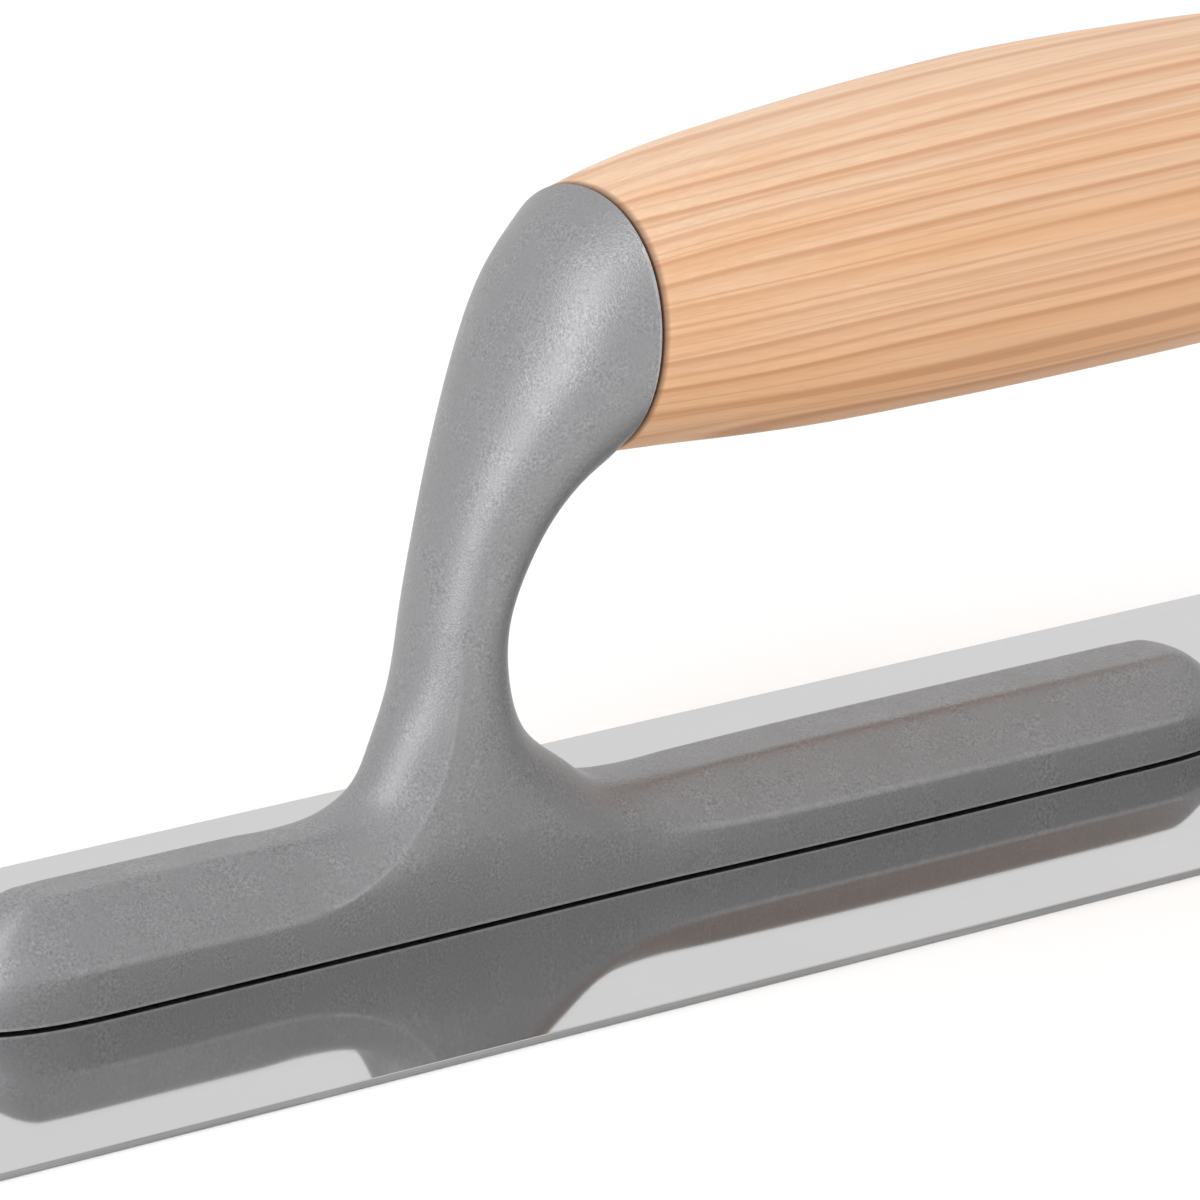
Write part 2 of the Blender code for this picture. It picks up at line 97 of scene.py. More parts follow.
# Post and head of the casting: front point, rear point (x, z) and half width
CASTING_LEVEL = 4
RING_ROUNDNESS = 2.1
RING_SWELL = 1.026
POST_FOOT_FRONT = -47 * MM
POST_FOOT_REAR = 1.5 * MM
POST_FOOT_DIP = 0.4 * MM
POST_RINGS = (
    ((-36.5, 15.2), (-9.3, 15.0), 7.5),
    ((-34.6, 19.7), (-16.0, 19.2), 7.0),
    ((-31.0, 26.2), (-18.3, 26.2), 6.8),
    ((-29.4, 34.2), (-18.8, 33.7), 6.9),
    ((-27.3, 42.2), (-15.4, 40.7), 7.6),
    ((-24.8, 50.2), (-13.4, 44.0), 8.8),
    ((-21.2, 58.6), (-11.9, 46.2), 10.6),
    ((-17.1, 66.8), (-10.4, 47.7), 12.4),
    ((-12.7, 74.1), (-9.0, 48.6), 13.9),
)

# Foot of the post: places along the beam's side and their rise over its
# shoulder, then the flare above it, half of a loop from the rear to the front
FOOT_SIDE = ((-0.5, 0), (-11, 0.6), (-24, 1.0), (-36, 0.6), (-47, 0))
FOOT_FLARE = (
    (-6.6, 0, 12.1),
    (-7.0, -4.0, 11.8),
    (-9.2, -7.8, 9.8),
    (-15.0, -8.3, 10.8),
    (-24.0, -8.3, 11.2),
    (-31.5, -8.4, 10.4),
    (-37.9, -8.0, 9.2),
    (-41.2, -3.8, 13.2),
    (-41.5, 0, 13.5),
)
FOOT_CREASES = (0.3, 0.2, 0.1)
FOOT_CREASE_COLUMNS = (1, 7, 9, 15)

# Ridge that runs from each of the front arm's shoulders up the post: its angle
# round the lowest rings, from the rear, and its creases from the beam upwards
RIDGE_COLUMNS = (6, 10)
RIDGE_ANGLES = (125, 113, 115, 124)
RIDGE_CREASES = (0.55, 0.6, 0.6, 0.5, 0.35)
PLAIN_RIDGE_ANGLE = 135

# Seam, where the head meets the handle
SEAM_X = -6.8 * MM
SEAM_Z = 64.8 * MM
SEAM_HALF_WIDTH = 15.3 * MM
SEAM_HALF_HEIGHT = 14.7 * MM
SEAM_TILT = math.radians(3.7)
SEAM_BREAK = 0.16 * MM

# Handle: distance along X, centre height, half width and half height
HANDLE_STATIONS = (
    (-6.8, 64.8, 15.3, 14.7),
    (1, 65.5, 16.1, 15.8),
    (10, 65.9, 17.1, 16.8),
    (22, 66.3, 18.2, 17.7),
    (36, 66.9, 18.8, 18.4),
    (54, 67.5, 19.1, 18.9),
    (76, 67.7, 19.0, 18.7),
    (96, 67.7, 18.2, 18.0),
    (118, 67.7, 16.8, 16.8),
)
HANDLE_RINGS = 90
HANDLE_POINTS = 128
HANDLE_END = 118 * MM
BUTT_ROUND_LENGTH = 13 * MM
BUTT_FACE_SCALE = 0.55
BUTT_STEPS = 28
TILT_FADE = 14 * MM
WOOD_SEAM_RADIUS = 0.35 * MM
COUNTERBORE_LIP_RADIUS = 0.5 * MM
LIP_STEPS = 5

# Spigot, tie screw and washer on the handle's axis
AXIS_START = Vector((SEAM_X, 0, SEAM_Z))
AXIS_END = Vector((HANDLE_END, 0, 67.7 * MM))
AXIS_LENGTH = (AXIS_END - AXIS_START).length
SPIGOT_LENGTH = 12 * MM
SPIGOT_ROOT = 4 * MM
SPIGOT_RADIUS = 8 * MM
SPIGOT_FLAT = 6 * MM
SCREW_RADIUS = 3 * MM
SCREW_POINT_RADIUS = 2.4 * MM
SCREW_POINT_LENGTH = 1 * MM
SCREW_DEPTH_IN_HEAD = 5 * MM
SCREW_HEAD_RADIUS = 5 * MM
SCREW_HEAD_HEIGHT = 3.4 * MM
SCREW_HEAD_CHAMFER = 0.6 * MM
SCREW_SOCKET_RADIUS = 2.6 * MM
SCREW_SOCKET_DEPTH = 2 * MM
THREAD_PITCH = 1 * MM
THREAD_DEPTH = 0.35 * MM
THREAD_LENGTH = 26 * MM
WASHER_RADIUS = 6.5 * MM
WASHER_THICKNESS = 1.2 * MM
WASHER_CHAMFER = 0.2 * MM
COUNTERBORE_DEPTH = 6 * MM
ROUND_SEGMENTS = 72

# Rivets, set flush in the blade's underside
RIVET_COUNT = 7
RIVET_PITCH = 22 * MM
RIVET_HEAD_RADIUS = 3.4 * MM
RIVET_SHANK_RADIUS = 2 * MM
RIVET_TOP = 5.2 * MM
CUT_MARGIN = 1 * MM

# Sharpest bend, in degrees, that is still shaded smooth, and the upright part of
# a normal above which a face counts as flat
SHARP_ANGLE = 35
CAST_SHARP_ANGLE = 28
FLAT_FACE_NORMAL = 0.999

# Wear and painted highlight: a lighter colour along outward bends, partly worn edges and partly a
# painted highlight on the creases. The most bending that counts, in radians for each millimetre, and
# how far a surface may face upwards and still be lightened
WEAR_HIGHLIGHT_LIMIT = 4
WEAR_HIGHLIGHT_TOP = 0.7

# Cast metal: its colours, the scales of its patterns in cells per metre, how
# strongly they show, and its finish
CAST_DARK = (0.21, 0.21, 0.215, 1)
CAST_LIGHT = (0.40, 0.40, 0.41, 1)
CAST_MIDDLE = (0.3, 0.3, 0.307, 1)
CAST_CLOUD = (0.28, 0.28, 0.286, 1)
# Lighter edge colour: partly wear, partly a painted highlight on the creases
CAST_WORN_HIGHLIGHT = (0.52, 0.52, 0.53, 1)
CAST_PIT_SCALE = 4200
CAST_SPECKLE_SCALE = 3000
CAST_FLECK_SCALE = 900
CAST_PATCH_SCALE = 260
CAST_CLOUD_SCALE = 150
CAST_CALM_PATCH = 0.75
CAST_LIVELY_PATCH = 0.1
CAST_CLOUD_SHARE = 0.35
CAST_WEAR_HIGHLIGHT_START = 0.22
CAST_WEAR_HIGHLIGHT_SHARE = 0.5
CAST_METALLIC = 0.8
CAST_SMOOTHEST = 0.37
CAST_ROUGHEST = 0.43
CAST_PIT_DEPTH = 0.06 * MM

# The beam is matt; the post and the head are polished by the hand
MATT_BELOW = 10 * MM
POLISHED_ABOVE = 26 * MM
BEAM_EXTRA_ROUGHNESS = 0.1

# Blade steel: its face, its lines and its sheared edges
STEEL_DULL = (0.58, 0.58, 0.58, 1)
STEEL_BRIGHT = (0.6, 0.6, 0.6, 1)
STEEL_LINE = (0.54, 0.54, 0.54, 1)
STEEL_LINE_SHARE = 0.25
STEEL_SMEAR_SCALE = 28
SHEARED_DARK = (0.21, 0.21, 0.21, 1)
SHEARED_LIGHT = (0.44, 0.44, 0.44, 1)
SHEARED_ROUGHNESS = 0.35
STEEL_SMOOTHEST = 0.035
STEEL_ROUGHEST = 0.06
STEEL_LINE_DEPTH = 0.02 * MM
STEEL_LINE_STRETCH = (6, 900, 900)
SHEAR_STRETCH = (60, 60, 2500)

# Turned steel of the screw and washer, and of the rivets
ZINC_COLOUR = (0.62, 0.63, 0.65)
ZINC_ROUGHNESS = 0.3
ZINC_STRETCH = (40, 1, 1)
RIVET_COLOUR = (0.52, 0.52, 0.53)
RIVET_ROUGHNESS = 0.26
RIVET_STRETCH = (1, 40, 1)
DULL_SHARE = 0.72
TOOL_MARK_DEPTH = 0.03 * MM
TOOL_MARK_SCALE = 30
DULL_SCALE = 220

# Wood: the growth rings' turn about the handle's length, their middle and spacing,
# how they belly out with the handle, how far they stray, and its colours
GRAIN_TURN = math.radians(24)
GRAIN_CENTRE_X = 65 * MM
GRAIN_CENTRE_Z = 67.5 * MM
GRAIN_SLOPE = 0.03
GRAIN_HALF_LENGTH = 75 * MM
GRAIN_BELLY = 0.15
GRAIN_SPACING = 2.95 * MM
GRAIN_WAVE = 1.6 * MM
GRAIN_WAVE_STRETCH = (9, 60, 60)
GRAIN_DRIFT = 3 * MM
GRAIN_DRIFT_STRETCH = (2, 110, 110)
BAND_STRETCH = (4, 240, 240)
BAND_SHARE = 0.8
FIBRE_STRETCH = (30, 2600, 2600)
FIBRE_DEPTH = 0.06 * MM
FIBRE_SHARE = 0.3
STREAK_SCALE = 1250
STREAK_SCALE_ALONG = 5
# Places within one growth ring, from 0 to 1, and how dark the wood is there
LATE_WOOD_PROFILE = ((0.45, 0.1), (0.68, 0.4), (0.82, 0.95), (0.88, 0.95), (0.97, 0.1))
# Width of the painted shade on the wood along the seam's gap
SEAM_SHADE_WIDTH = 0.7 * MM
# Painted light: the wood is painted paler and less saturated towards the top of the handle, over this
# stretch across the growth rings, which runs mostly upwards
WOOD_LIT_TOP_START = -8 * MM
WOOD_LIT_TOP_END = 14 * MM
# Wood colours; the first is the painted-light tone of the top of the handle
WOOD_LIT_TOP = (0.84, 0.615, 0.435, 1)
WOOD_LIGHT = (0.82, 0.515, 0.315, 1)
WOOD_WARM = (0.83, 0.465, 0.235, 1)
WOOD_LINE = (0.56, 0.27, 0.125, 1)
# Painted shade on the wood at the seam's gap
WOOD_SEAM_SHADE = (0.16, 0.075, 0.04, 1)
# Strength of the lines: the weakest late-wood line, all of them where the top is painted lighter,
# and the streaks where the wood is warm and where the top is painted lighter
WEAKEST_LINE = 0.55
LIT_TOP_LINE_STRENGTH = 0.75
WARM_STREAK_STRENGTH = 0.6
LIT_TOP_STREAK_STRENGTH = 0.3

# Floor
FLOOR_DARK = (0.975, 0.975, 0.975, 1)
FLOOR_LIGHT = (0.985, 0.985, 0.985, 1)
FLOOR_REACH = 4.0
FLOOR_DROP = 0.1 * MM

# Camera: place of its target, distance, direction, lens and sensor
CAMERA_TARGET = Vector((57.5 * MM, 83 * MM, 0.55 * MM))
CAMERA_DISTANCE = 0.972
CAMERA_AZIMUTH = math.radians(36.5)
CAMERA_ELEVATION = math.radians(17)
CAMERA_LENS = 234.09
CAMERA_SENSOR = 36
CAMERA_NEAR = 0.01

# Light: a tall soft panel on the left, and a surround that is darker low on the right
LIGHT_TARGET = Vector((0, 0, 0.04))
LEFT_PANEL_LOW = (-1.35, -0.66, 0)
LEFT_PANEL_HIGH = (-0.85, 0.12, 1.49)
LEFT_PANEL_WIDTH = 0.85
LEFT_PANEL_RADIANCE = 1.5
WORLD_STRENGTH = 0.98
DARK_PATCH_DIRECTION = (0.87, -0.46, -0.17)
DARK_PATCH_RADIUS = math.radians(45)
DARK_PATCH_CORE = 0.4
DARK_PATCH_DROP = 0.75


# Mesh helpers --------------------------------------------------------------

def mesh_object(name, shape):
    """Turn a bmesh into an object, shaded smooth up to the sharp angle."""
    bmesh.ops.recalc_face_normals(shape, faces=shape.faces)
    mesh = bpy.data.meshes.new(name)
    shape.to_mesh(mesh)
    shape.free()
    mesh.shade_smooth()
    mesh.set_sharp_from_angle(angle=math.radians(SHARP_ANGLE))
    item = bpy.data.objects.new(name, mesh)
    bpy.context.scene.collection.objects.link(item)
    return item


def finish_piece(piece, material, nodes):
    """Give a piece its material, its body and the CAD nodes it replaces."""
    piece.data.materials.clear()
    piece.data.materials.append(material)
    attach(piece, BODY)
    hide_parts(*nodes)


def bridge_rings(shape, rings):
    for lower, upper in zip(rings, rings[1:]):
        count = len(lower)
        for index in range(count):
            following = (index + 1) % count
            shape.faces.new((lower[index], lower[following], upper[following], upper[index]))


def cap_rings(shape, rings):
    """Join rings of points into a closed body with a face at each end."""
    bridge_rings(shape, rings)
    shape.faces.new(rings[0])
    shape.faces.new(rings[-1])


def turned_rings(shape, profile, place):
    """Rings of points about the frame's X axis, one for each (distance, radius)."""
    rings = []
    for distance, radius in profile:
        ring = []
        for step in range(ROUND_SEGMENTS):
            angle = math.tau * step / ROUND_SEGMENTS
            point = Vector((distance, radius * math.cos(angle), radius * math.sin(angle)))
            ring.append(shape.verts.new(place @ point))
        rings.append(ring)
    return rings


def add_turned(shape, profile, place):
    cap_rings(shape, turned_rings(shape, profile, place))


def apply_modifiers(item):
    """Replace the object's mesh by its evaluated one."""
    graph = bpy.context.evaluated_depsgraph_get()
    mesh = bpy.data.meshes.new_from_object(item.evaluated_get(graph))
    item.modifiers.clear()
    item.data = mesh


def mark_wear_and_highlight(item):
    """Store how sharply each point's surface bends outwards, for the lighter edges: partly wear,
    partly a painted highlight.
    """
    shape = bmesh.new()
    shape.from_mesh(item.data)
    layer = shape.verts.layers.float.new("wear_and_highlight")
    for edge in shape.edges:
        if len(edge.link_faces) != 2:
            continue
        angle = edge.calc_face_angle_signed(0)
        width = sum(face.calc_area() for face in edge.link_faces) / (2 * edge.calc_length())
        bend = angle / width * MM
        for vertex in edge.verts:
            if vertex.normal.z < WEAR_HIGHLIGHT_TOP:
                vertex[layer] = max(vertex[layer], min(bend, WEAR_HIGHLIGHT_LIMIT))
    shape.to_mesh(item.data)
    shape.free()


def boolean(item, cutter, operation):
    modifier = item.modifiers.new(operation.lower(), "BOOLEAN")
    modifier.object = cutter
    modifier.operation = operation
    modifier.solver = "EXACT"


def axis_frame(start, direction):
    """Matrix with its X axis along the direction, at the start point."""
    turn = direction.to_track_quat("X", "Z").to_matrix().to_4x4()
    return Matrix.Translation(start) @ turn


def vertical_frame(x):
    return axis_frame(Vector((x, 0, 0)), Vector((0, 0, 1)))


def handle_frame():
    return axis_frame(AXIS_START, (AXIS_END - AXIS_START).normalized())


def superellipse(angle):
    """Point of a slightly squared unit circle, as the circle's cosine and sine."""
    power = 2 / RING_ROUNDNESS
    cosine = math.cos(angle)
    sine = math.sin(angle)
    return (
        math.copysign(abs(cosine) ** power, cosine),
        math.copysign(abs(sine) ** power, sine),
    )


def rivet_places():
    first = -RIVET_PITCH * (RIVET_COUNT - 1) / 2
    return [first + RIVET_PITCH * number for number in range(RIVET_COUNT)]


# Casting -------------------------------------------------------------------

def ring_angles(ridge_angle):
    """Angles in degrees round half a ring, from the rear; the seventh is the ridge's."""
    ahead = (90 + ridge_angle) / 2
    behind = (ridge_angle + 180) / 2
    return (0, 22.5, 45, 67.5, 90, ahead, ridge_angle, behind, 180)


def post_ring(front, rear, half_width, ridge_angle=PLAIN_RIDGE_ANGLE):
    """Points of one ring; index 0 is the rear point and half-way is the front."""
    front = Vector((front[0], 0, front[1]))
    rear = Vector((rear[0], 0, rear[1]))
    centre = (front + rear) / 2
    reach = (rear - front) / 2
    points = []
    for angle in ring_angles(ridge_angle):
        along, across = superellipse(math.radians(angle))
        side = Vector((0, -half_width * across, 0))
        points.append(centre + (reach * along + side) * RING_SWELL)
    return mirrored_loop(points)


def mirrored_loop(front_half):
    """Close a loop given its nine points from the rear, by the front side."""
    back_half = [Vector((p.x, -p.y, p.z)) for p in reversed(front_half[1:-1])]
    return front_half + back_half


def foot_loops():
    """Two loops where the post grows out of the beam's sides and flat top."""
    rear_top = REAR_ARM["top"] - POST_FOOT_DIP
    front_top = FRONT_ARM["top"]
    on_beam = [
        Vector((POST_FOOT_REAR, 0, rear_top)),
        Vector((POST_FOOT_REAR, -REAR_ARM["top_half_width"], rear_top)),
    ]
    for x, rise in FOOT_SIDE:
        on_beam.append(Vector((x * MM, -BEAM_HALF_WIDTH, BEAM_SHOULDER + rise * MM)))
    on_beam.append(Vector((POST_FOOT_FRONT, -FRONT_ARM["top_half_width"], front_top)))
    on_beam.append(Vector((POST_FOOT_FRONT, 0, front_top)))
    flare = [Vector(point) * MM for point in FOOT_FLARE]
    return [mirrored_loop(on_beam), mirrored_loop(flare)]


def seam_ring(set_back, inset):
    """Points of the seam's outline, behind the seam's plane and inside the outline."""
    lean = Vector((math.sin(SEAM_TILT), 0, math.cos(SEAM_TILT)))
    normal = Vector((math.cos(SEAM_TILT), 0, -math.sin(SEAM_TILT)))
    centre = AXIS_START - normal * set_back
    top = centre + lean * (SEAM_HALF_HEIGHT - inset)
    bottom = centre - lean * (SEAM_HALF_HEIGHT - inset)
    return post_ring((top.x, top.z), (bottom.x, bottom.z), SEAM_HALF_WIDTH - inset)


def arm_section(arm, x):
    """Eight points round the beam, from the bottom's middle by the front side."""
    x = x * arm["direction"]
    side = arm["half_width"]
    shoulder = arm["shoulder"]
    top = arm["top"]
    half = arm["top_half_width"]
    return [
        (x, 0, BEAM_BOTTOM),
        (x, -side, BEAM_BOTTOM),
        (x, -side, shoulder),
        (x, -half, top),
        (x, 0, top),
        (x, half, top),
        (x, side, shoulder),
        (x, side, BEAM_BOTTOM),
    ]


def end_section(arm):
    """Eight points of the arm's rounded end, and the middle of its end face."""
    tip = arm["tip"]
    corner = arm["corner"]
    top = arm["top"]
    top_end = arm["top_end"]
    side = arm["half_width"] * END_SIDE_SCALE
    shoulder = arm["shoulder"]
    half = arm["top_half_width"]
    points = [
        (tip, 0, BEAM_BOTTOM),
        (corner, -side, BEAM_BOTTOM),
        (corner - END_SHOULDER_SET_BACK, -side, shoulder),
        (top_end - END_TOP_SET_BACK, -half, top),
        (top_end, 0, top),
        (top_end - END_TOP_SET_BACK, half, top),
        (corner - END_SHOULDER_SET_BACK, side, shoulder),
        (corner, side, BEAM_BOTTOM),
        (tip - END_TIP_LEAN, 0, shoulder),
    ]
    placed = [(arm["direction"] * x, y, z) for x, y, z in points]
    return placed[:-1], placed[-1]


def add_arm(shape, arm, first_section, crease_layer):
    """Run one arm of the beam from the post's foot to its rounded end."""
    sections = [first_section]
    for station in arm["stations"]:
        sections.append([shape.verts.new(p) for p in arm_section(arm, station)])
    end_points, middle_point = end_section(arm)
    sections.append([shape.verts.new(p) for p in end_points])
    bridge_rings(shape, sections)
    bottom, front, front_edge, front_top, top, back_top, back_edge, back = sections[-1]
    middle = shape.verts.new(middle_point)
    shape.faces.new((bottom, front, front_edge, middle))
    shape.faces.new((middle, front_edge, front_top, top))
    shape.faces.new((bottom, middle, back_edge, back))
    shape.faces.new((middle, top, back_top, back_edge))
    for number, (near, far) in enumerate(zip(sections, sections[1:])):
        last = number == len(sections) - 2
        for column, crease in ARM_CREASES:
            edge = shape.edges.get((near[column], far[column]))
            edge[crease_layer] = END_CREASE if last else crease
        for column in (1, 7):
            shape.edges.get((near[column], far[column]))[crease_layer] = BOTTOM_CREASE
    for side in (front, back):
        shape.edges.get((bottom, side))[crease_layer] = BOTTOM_CREASE


def add_foot_bottom(shape, foot, crease_layer):
    """Close the beam under the post; return its front and rear end sections."""
    bottoms = []
    for vertex in foot[2:7]:
        row = []
        for y in (-BEAM_HALF_WIDTH, 0, BEAM_HALF_WIDTH):
            row.append(shape.verts.new((vertex.co.x, y, BEAM_BOTTOM)))
        bottoms.append(row)
    for index, (near, far) in enumerate(zip(bottoms, bottoms[1:]), 2):
        shape.faces.new((near[0], foot[index], foot[index + 1], far[0]))
        shape.faces.new((near[2], far[2], foot[-index - 1], foot[-index]))
        shape.faces.new((near[1], near[0], far[0], far[1]))
        shape.faces.new((near[2], near[1], far[1], far[2]))
        for side in (0, 2):
            shape.edges.get((near[side], far[side]))[crease_layer] = BOTTOM_CREASE
    rear = bottoms[0]
    front = bottoms[-1]
    rear_section = [rear[1], rear[0], foot[2], foot[1], foot[0], foot[-1], foot[-2], rear[2]]
    front_section = [front[1], front[0], foot[6], foot[7], foot[8], foot[9], foot[10], front[2]]
    return front_section, rear_section


def casting_cage():
    """Control cage of the beam, gooseneck post and head, with a broken seam edge."""
    shape = bmesh.new()
    crease_layer = shape.edges.layers.float.new("crease_edge")
    loops = foot_loops()
    plain_rings = len(POST_RINGS) - len(RIDGE_ANGLES)
    ridge_angles = RIDGE_ANGLES + (PLAIN_RIDGE_ANGLE,) * plain_rings
    for (front, rear, half_width), angle in zip(POST_RINGS, ridge_angles):
        loops.append(post_ring(Vector(front) * MM, Vector(rear) * MM, half_width * MM, angle))
    loops.append(seam_ring(SEAM_BREAK, 0))
    loops.append(seam_ring(0, SEAM_BREAK))
    rings = [[shape.verts.new(p) for p in loop] for loop in loops]
    bridge_rings(shape, rings)
    shape.faces.new(rings[-1])
    for ring in rings[-2:]:
        for near, far in zip(ring, ring[1:] + ring[:1]):
            shape.edges.get((near, far))[crease_layer] = 1
    for columns, creases in ((FOOT_CREASE_COLUMNS, FOOT_CREASES), (RIDGE_COLUMNS, RIDGE_CREASES)):
        for column in columns:
            for crease, (lower, upper) in zip(creases, zip(rings, rings[1:])):
                shape.edges.get((lower[column], upper[column]))[crease_layer] = crease
    front_section, rear_section = add_foot_bottom(shape, rings[0], crease_layer)
    add_arm(shape, REAR_ARM, rear_section, crease_layer)
    add_arm(shape, FRONT_ARM, front_section, crease_layer)
    return shape


def spigot_ring(distance, clearance, segments, place):
    """Outline of the round spigot with its two flats."""
    radius = SPIGOT_RADIUS + clearance
    flat = SPIGOT_FLAT + clearance
    ring = []
    for step in range(segments):
        angle = math.tau * step / segments
        across = max(-flat, min(flat, radius * math.sin(angle)))
        ring.append(place @ Vector((distance, across, radius * math.cos(angle))))
    return ring


def spigot_shape(place):
    shape = bmesh.new()
    ends = (-SPIGOT_ROOT, SPIGOT_LENGTH)
    rings = [spigot_ring(distance, 0, ROUND_SEGMENTS, place) for distance in ends]
    cap_rings(shape, [[shape.verts.new(p) for p in ring] for ring in rings])
    return shape


def hole_shape(place):
    """The screw's hole in the head and the rivets' holes in the beam."""
    shape = bmesh.new()
    radius = SCREW_RADIUS + GAP
    ends = [(-SCREW_DEPTH_IN_HEAD - GAP, radius), (SPIGOT_LENGTH + CUT_MARGIN, radius)]
    add_turned(shape, ends, place)
    for x in rivet_places():
        radius = RIVET_SHANK_RADIUS + GAP
        add_turned(shape, [(0, radius), (RIVET_TOP + GAP, radius)], vertical_frame(x))
    return shape


def make_casting(material):
    casting = mesh_object("cast_mount", casting_cage())
    subdivide = casting.modifiers.new("smooth", "SUBSURF")
    subdivide.levels = CASTING_LEVEL
    subdivide.render_levels = CASTING_LEVEL
    place = handle_frame()
    spigot = mesh_object("spigot", spigot_shape(place))
    holes = mesh_object("holes", hole_shape(place))
    boolean(casting, spigot, "UNION")
    boolean(casting, holes, "DIFFERENCE")
    apply_modifiers(casting)
    for helper in (spigot, holes):
        bpy.data.objects.remove(helper)
    mark_wear_and_highlight(casting)
    casting.data.shade_smooth()
    casting.data.set_sharp_from_angle(angle=math.radians(CAST_SHARP_ANGLE))
    finish_piece(casting, material, ["mount_casting"])


# Handle --------------------------------------------------------------------

def smooth_station(x):
    """Centre height, half width and half height of the handle at x."""
    stations = HANDLE_STATIONS
    position = max(stations[0][0], min(stations[-1][0], x / MM))
    index = 0
    while index < len(stations) - 2 and stations[index + 1][0] < position:
        index += 1
    start = stations[index]
    end = stations[index + 1]
    before = stations[max(index - 1, 0)]
    after = stations[min(index + 2, len(stations) - 1)]
    span = end[0] - start[0]
    t = (position - start[0]) / span
    values = []
    for column in (1, 2, 3):
        slope_in = (end[column] - before[column]) / (end[0] - before[0]) * span
        slope_out = (after[column] - start[column]) / (after[0] - start[0]) * span
        value = (2 * t ** 3 - 3 * t ** 2 + 1) * start[column]
        value += (t ** 3 - 2 * t ** 2 + t) * slope_in
        value += (3 * t ** 2 - 2 * t ** 3) * end[column]
        value += (t ** 3 - t ** 2) * slope_out
        values.append(value * MM)
    return values


def handle_ring(x, scale, inset=0.0):
    """One outline of the handle; near the seam it leans with the seam."""
    height, half_width, half_height = smooth_station(x)
    half_width = half_width * scale - inset
    half_height = half_height * scale - inset
    fade = max(0, 1 - (x - SEAM_X) / TILT_FADE)
    tilt = SEAM_TILT * fade
    lean = Vector((math.sin(tilt), 0, math.cos(tilt)))
    centre = Vector((x, 0, height))
    points = []
    for step in range(HANDLE_POINTS):
        up, across = superellipse(math.tau * step / HANDLE_POINTS)
        points.append(centre + lean * half_height * up + Vector((0, half_width * across, 0)))
    return points


def circle_ring(distance, radius, place):
    """Points of a circle about the handle's axis, in the same order as the outline."""
    ring = []
    for step in range(HANDLE_POINTS):
        angle = math.tau * step / HANDLE_POINTS
        ring.append(place @ Vector((distance, radius * math.sin(angle), radius * math.cos(angle))))
    return ring


def outer_loops():
    """The handle's outside, from its edge at the seam to the flat of the butt."""
    loops = []
    start = SEAM_X + GAP / math.cos(SEAM_TILT)
    straight_end = HANDLE_END - BUTT_ROUND_LENGTH
    for step in range(LIP_STEPS + 1):
        angle = math.pi / 2 * step / LIP_STEPS
        x = start + WOOD_SEAM_RADIUS * (1 - math.cos(angle))
        loops.append(handle_ring(x, 1, WOOD_SEAM_RADIUS * (1 - math.sin(angle))))
    first = start + WOOD_SEAM_RADIUS
    for number in range(1, HANDLE_RINGS + 1):
        x = first + (straight_end - first) * number / HANDLE_RINGS
        loops.append(handle_ring(x, 1))
    for number in range(1, BUTT_STEPS + 1):
        angle = math.pi / 2 * number / BUTT_STEPS
        x = straight_end + BUTT_ROUND_LENGTH * math.sin(angle)
        scale = BUTT_FACE_SCALE + (1 - BUTT_FACE_SCALE) * math.cos(angle)
        loops.append(handle_ring(x, scale))
    return loops


def inner_loops(place):
    """Counterbore, bore and spigot recess, from the butt back to the seam."""
    loops = []
    radius = WASHER_RADIUS + GAP
    lip = COUNTERBORE_LIP_RADIUS
    for step in range(LIP_STEPS + 1):
        angle = math.pi / 2 * step / LIP_STEPS
        distance = AXIS_LENGTH - lip * (1 - math.cos(angle))
        loops.append(circle_ring(distance, radius + lip * (1 - math.sin(angle)), place))
    floor = AXIS_LENGTH - COUNTERBORE_DEPTH
    bore = SCREW_RADIUS + GAP
    recess = SPIGOT_LENGTH + GAP
    loops.append(circle_ring(floor, radius, place))
    loops.append(circle_ring(floor, bore, place))
    loops.append(circle_ring(recess, bore, place))
    loops.append(spigot_ring(recess, GAP, HANDLE_POINTS, place))
    lean = math.tan(SEAM_TILT)
    mouth = []
    for point in spigot_ring(GAP, GAP, HANDLE_POINTS, place):
        mouth.append(point + Vector(((point.z - SEAM_Z) * lean, 0, 0)))
    loops.append(mouth)
    return loops


def make_handle(material):
    shape = bmesh.new()
    loops = outer_loops() + inner_loops(handle_frame())
    rings = [[shape.verts.new(p) for p in loop] for loop in loops]
    bridge_rings(shape, rings + rings[:1])
    handle = mesh_object("turned_handle", shape)
    finish_piece(handle, material, ["wooden_handle"])


# Hardware ------------------------------------------------------------------

def make_washer(material, place, seat):
    shape = bmesh.new()
    inner = SCREW_RADIUS + GAP
    top = seat + WASHER_THICKNESS
    cut = WASHER_CHAMFER
    profile = (
        (seat + cut, inner),
        (seat, inner + cut),
        (seat, WASHER_RADIUS - cut),
        (seat + cut, WASHER_RADIUS),
        (top - cut, WASHER_RADIUS),
        (top, WASHER_RADIUS - cut),
        (top, inner + cut),
        (top - cut, inner),
    )
    rings = turned_rings(shape, profile, place)
    bridge_rings(shape, rings + rings[:1])
    washer = mesh_object("flat_washer", shape)
    finish_piece(washer, material, ["screw_washer"])


